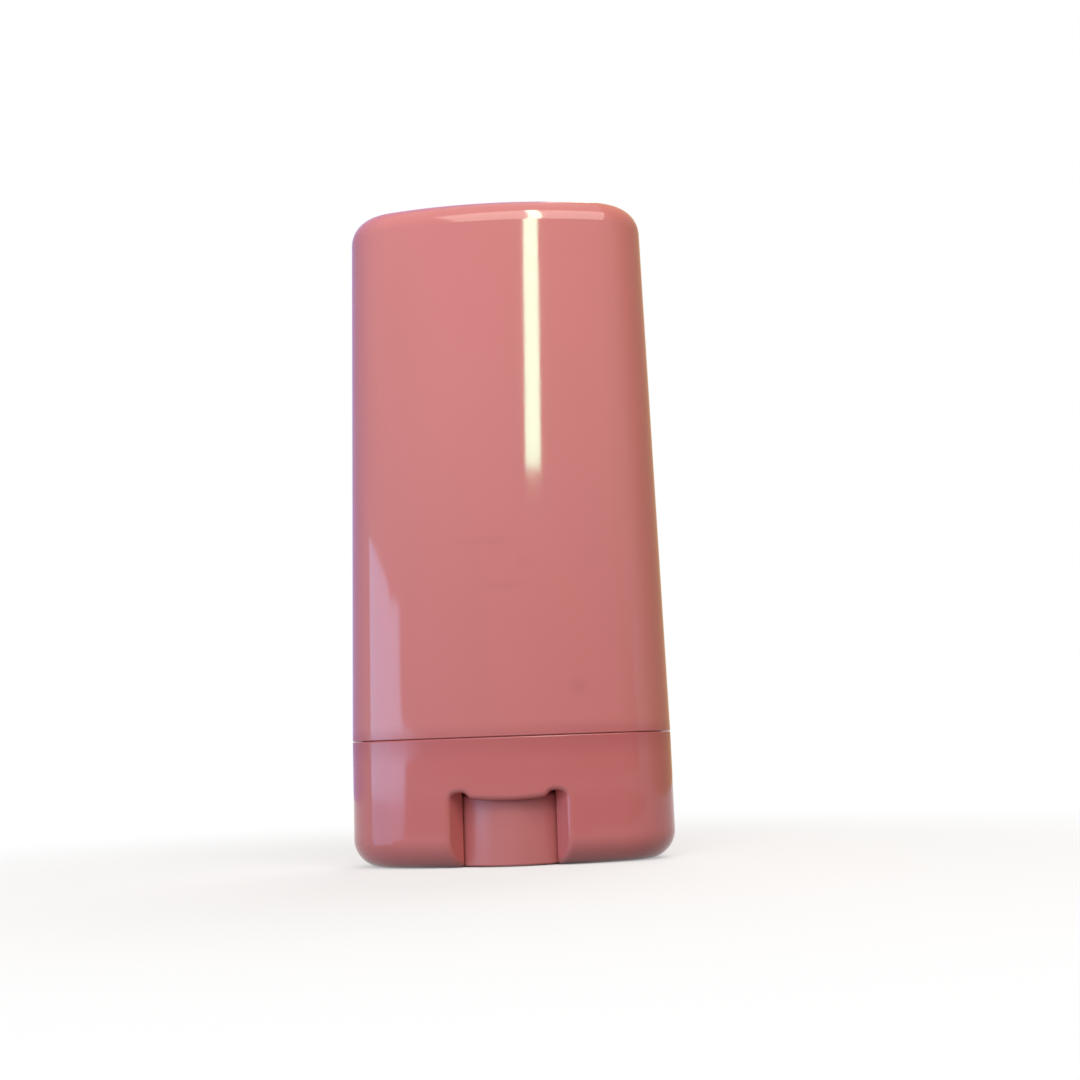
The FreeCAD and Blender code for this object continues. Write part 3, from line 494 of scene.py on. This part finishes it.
def pale_floor(colour):
    """The floor: it lights the pack as its own colour. Where it is seen it is pale, and it turns white
    away from the pack, with the shadow kept. It stays dark right under the pack."""
    material, start = new_material("pale_floor")
    seen = seen_rays(start)
    place = start.node("ShaderNodeTexCoord", output="Object")
    tone = blend_colours(seen, (*colour, 1.0), SEEN_FLOOR)
    matt = start.node("ShaderNodeBsdfDiffuse", None, {"Color": tone})
    white = start.node("ShaderNodeEmission", None, {"Color": WHITE, "Strength": 1.0})
    oval_foot = place.vector("MULTIPLY", (1, 2, 1)).vector("LENGTH", output="Value")
    beside = oval_foot.fade(20 * MM, 30 * MM)
    far_off = place.vector("LENGTH", output="Value").fade(40 * MM, 200 * MM)
    share = seen * beside * (far_off * 0.45 + 0.55)
    mixed = start.node("ShaderNodeMixShader", None, {0: share, 1: matt, 2: white})
    mixed.node("ShaderNodeOutputMaterial", None, {"Surface": mixed})
    return material


def room_light(strength):
    """The world: white where it is seen or reflected, and an even soft light otherwise."""
    world = bpy.data.worlds.new("room")
    world.use_nodes = True
    world.node_tree.nodes.clear()
    start = Wire(world.node_tree)
    seen = seen_rays(start)
    level = seen * (1.0 - strength) + strength
    tint = blend_colours(seen, ROOM_TINT, WHITE)
    glow = start.node("ShaderNodeBackground", None, {"Color": tint, "Strength": level})
    glow.node("ShaderNodeOutputWorld", None, {"Surface": glow})
    bpy.context.scene.world = world


class STICK_OT_stage(bpy.types.Operator):
    """Set up the floor, the lamps and the camera"""

    bl_idname = "stick.stage"
    bl_label = "Studio"

    def execute(self, context):
        studio = context.scene.stick_studio
        low, high = CAD_BOX
        middle = (low + high) / 2
        self.floor(studio)
        room_light(studio.room)
        self.strip(studio)
        self.window(studio)
        self.flags(middle)
        self.softboxes(studio, middle)
        self.camera(context.scene, studio)
        context.scene.view_settings.view_transform = "Standard"
        return {"FINISHED"}

    def floor(self, studio):
        """A wide flat floor under the pack."""
        reach = 4.0
        corners = [(-reach, -reach, 0), (reach, -reach, 0), (reach, reach, 0), (-reach, reach, 0)]
        flat_sheet("floor", corners, pale_floor(studio.floor_colour))

    def strip(self, studio):
        """A tall strip high up ahead of the cap. The gloss shows it as a narrow streak."""
        glow = emitter("strip_glow", STRIP_TINT, studio.strip_level)
        low, high = CAD_BOX
        streak = Vector((7.5 * MM, low.y + 0.7 * MM, high.z - 27.2 * MM))
        foot, bend, head = 10.3, 34.0, 66.0
        edges = [(4.8, foot), (10.0, foot), (14.4, bend), (18.0, head), (11.0, head), (9.2, bend)]
        card("strip", streak, edges, 0.7, glow)

    def window(self, studio):
        """A pale window low down on the left, and its gleam on the floor, which only the gloss shows."""
        glow = emitter("window_glow", WINDOW_TINT, studio.window_level)
        low = CAD_BOX[0]
        corner = Vector((low.x + 8.7 * MM, low.y + 5.2 * MM, 40 * MM))
        inner_edge = [(-37, -6), (-36, -2), (-31, -0.8), (-36.5, 1.0), (-36.5, 8.3)]
        outer_edge = [(-75, 11.0), (-84, 11.2), (-84, -6)]
        card("window", corner, inner_edge + outer_edge, 0.5, glow, gloss_only=False)
        gleam = emitter("spill_glow", WINDOW_TINT, studio.spill_level)
        inner, outer, near, far, lift = -36, -84, 12 * MM, 0.5, 2 * MM
        reaches = [(inner, near), (inner, far), (outer, far), (outer, near)]
        ends = [corner + direction(azimuth, 0) * reach for azimuth, reach in reaches]
        show_in_gloss(flat_sheet("window_spill", [(end.x, end.y, lift) for end in ends], gleam))

    def flags(self, middle):
        """Dim sheets right, left, ahead and on the floor, which keep the gloss from turning white there."""
        warm = flag_cloth("warm_flag", (0.60, 0.40, 0.22), 1.3, direction(29, 0), clear=0.46, full=0.10)
        card("right_flag", middle, span(62, 176, -12, 60), 0.3, warm)
        cool = flag_cloth("dim_flag", (0.58, 0.50, 0.92), 1.0, direction(-45, 0), clear=0.46, full=0.10)
        card("left_flag", middle, span(-78, -182, -12, 60), 0.32, cool)
        ahead = flag_cloth("low_cloth", SHADE_TINT, 1.0, Vector((0, 0, 1)), clear=0.36, full=0.06)
        card("front_flag", middle, span(-60, 60, -6, 26), 1.0, ahead)
        below = flag_cloth("floor_cloth", SHADE_TINT, 1.0, Vector((0, 1, 0)), clear=-0.08, full=-0.16)
        half, near, far, lift = 0.4, 0.05, 0.6, 1 * MM
        corners = [(-half, -far, lift), (half, -far, lift), (half, -near, lift), (-half, -near, lift)]
        show_in_gloss(flat_sheet("floor_flag", corners, below))

    def softboxes(self, studio, middle):
        """A warm key above the front, a fill before it that the gloss doesn't show, and a fill behind."""
        upper_half = middle + Vector((0, 0, 30 * MM))
        softbox("key", azimuth=14, elevation=46, distance=0.42, size=(0.42, 0.26),
                radiance=studio.key_level, colour=(1.0, 0.94, 0.85), target=upper_half)
        fill = softbox("front_fill", azimuth=-18, elevation=14, distance=0.8, size=(0.5, 0.5),
                       radiance=studio.fill_level, colour=(0.96, 0.95, 0.98), target=middle)
        fill.visible_glossy = False
        softbox("back_fill", azimuth=165, elevation=30, distance=0.7, size=(0.6, 0.5),
                radiance=studio.back_level, colour=(1.0, 0.97, 0.95), target=middle)

    def camera(self, scene, studio):
        """The camera stands low and a little to the right, and looks up at the middle of the pack."""
        place = direction(math.degrees(studio.turn), 0) * studio.distance
        place.z = studio.height
        ahead = (Vector((studio.aim_side, 0, studio.aim_height)) - place).normalized()
        right = ahead.cross(Vector((0, 0, 1))).normalized()
        up = right.cross(ahead)
        tilt = Matrix((right, up, -ahead)).transposed() @ Matrix.Rotation(studio.roll, 3, "Z")
        lens = bpy.data.cameras.new("camera")
        lens.sensor_width = SENSOR_WIDTH
        lens.lens = studio.focal
        lens.clip_start = 10 * MM
        holder = bpy.data.objects.new("camera", lens)
        holder.matrix_world = Matrix.Translation(place) @ tilt.to_4x4()
        scene.collection.objects.link(holder)
        scene.camera = holder


class STICK_PT_panel(bpy.types.Panel):
    """The stick container's settings and steps"""

    bl_label = "Stick container"
    bl_idname = "STICK_PT_panel"
    bl_space_type = "VIEW_3D"
    bl_region_type = "UI"
    bl_category = "Stick"

    def draw(self, context):
        layout = self.layout
        for group in (context.scene.stick_finish, context.scene.stick_studio):
            for name in group.__annotations__:
                layout.prop(group, name)
        for operator in STEPS:
            layout.operator(operator.bl_idname)


STEPS = (STICK_OT_cap, STICK_OT_base, STICK_OT_wheel, STICK_OT_barrel, STICK_OT_lift, STICK_OT_stage)
CLASSES = (StickFinish, StickStudio, *STEPS, STICK_PT_panel)


def register():
    """Registers the classes and hangs the settings on the scene."""
    for item in CLASSES:
        bpy.utils.register_class(item)
    bpy.types.Scene.stick_finish = bpy.props.PointerProperty(type=StickFinish)
    bpy.types.Scene.stick_studio = bpy.props.PointerProperty(type=StickStudio)


def unregister():
    """Undoes register."""
    del bpy.types.Scene.stick_studio
    del bpy.types.Scene.stick_finish
    for item in reversed(CLASSES):
        bpy.utils.unregister_class(item)


def main():
    """Runs every step in order."""
    register()
    bpy.ops.stick.cap()
    bpy.ops.stick.base()
    bpy.ops.stick.wheel()
    bpy.ops.stick.barrel()
    bpy.ops.stick.lift()
    bpy.ops.stick.stage()


if __name__ == "__main__":
    main()
